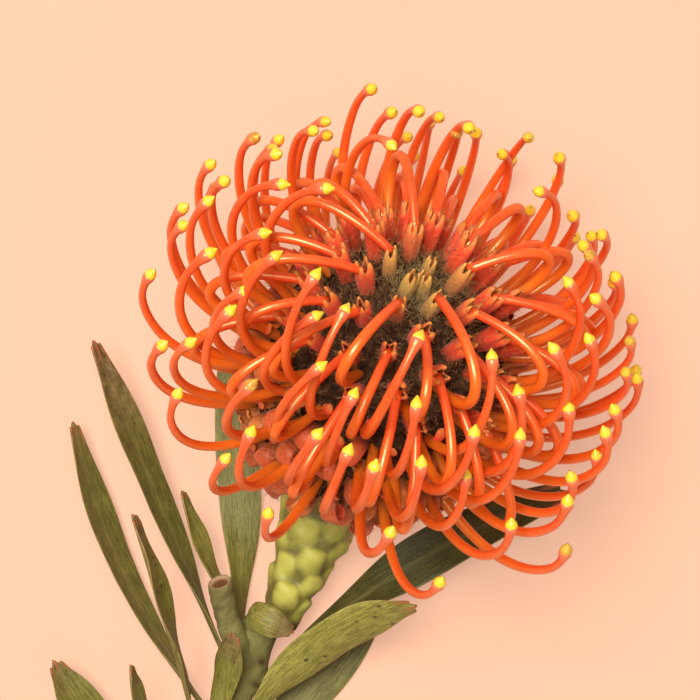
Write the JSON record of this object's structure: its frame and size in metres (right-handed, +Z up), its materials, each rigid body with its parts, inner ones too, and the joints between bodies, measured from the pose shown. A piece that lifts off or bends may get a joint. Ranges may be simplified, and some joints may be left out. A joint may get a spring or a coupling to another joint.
{
  "type": "pincushion protea flower",
  "caption": "Cut pincushion protea lying down: a dome of looped and free orange styles with yellow tips on a bracted neck and a short leafy woody stem.",
  "frame": {"origin": "middle of the whole flower's footprint, on the surface it lies on", "axes": "+Z up from the table, +Y along the stem from its cut end towards the head"},
  "size_m": [0.107, 0.1602, 0.0937],
  "materials": {
    "style": "waxy, satin, orange at the foot to red-orange and pink below the tip",
    "perianth": "short silky hairs, red to rust brown",
    "pollen": "matt yellow",
    "peduncle": "fine down over soft yellow-green skin",
    "bark": "matt young bark, green-brown",
    "leaf": "leathery, satin, olive green with a fine pale down"
  },
  "bodies": {
    "root": {"flower_head": "style", "peduncle": "peduncle", "stem": "bark", "leaf_01": "leaf", "leaf_02": "leaf", "leaf_03": "leaf", "leaf_04": "leaf", "leaf_05": "leaf", "leaf_06": "leaf", "leaf_07": "leaf", "leaf_08": "leaf", "leaf_09": "leaf", "leaf_10": "leaf", "leaf_11": "leaf", "leaf_12": "leaf", "leaf_13": "leaf"}
  },
  "joints": []
}
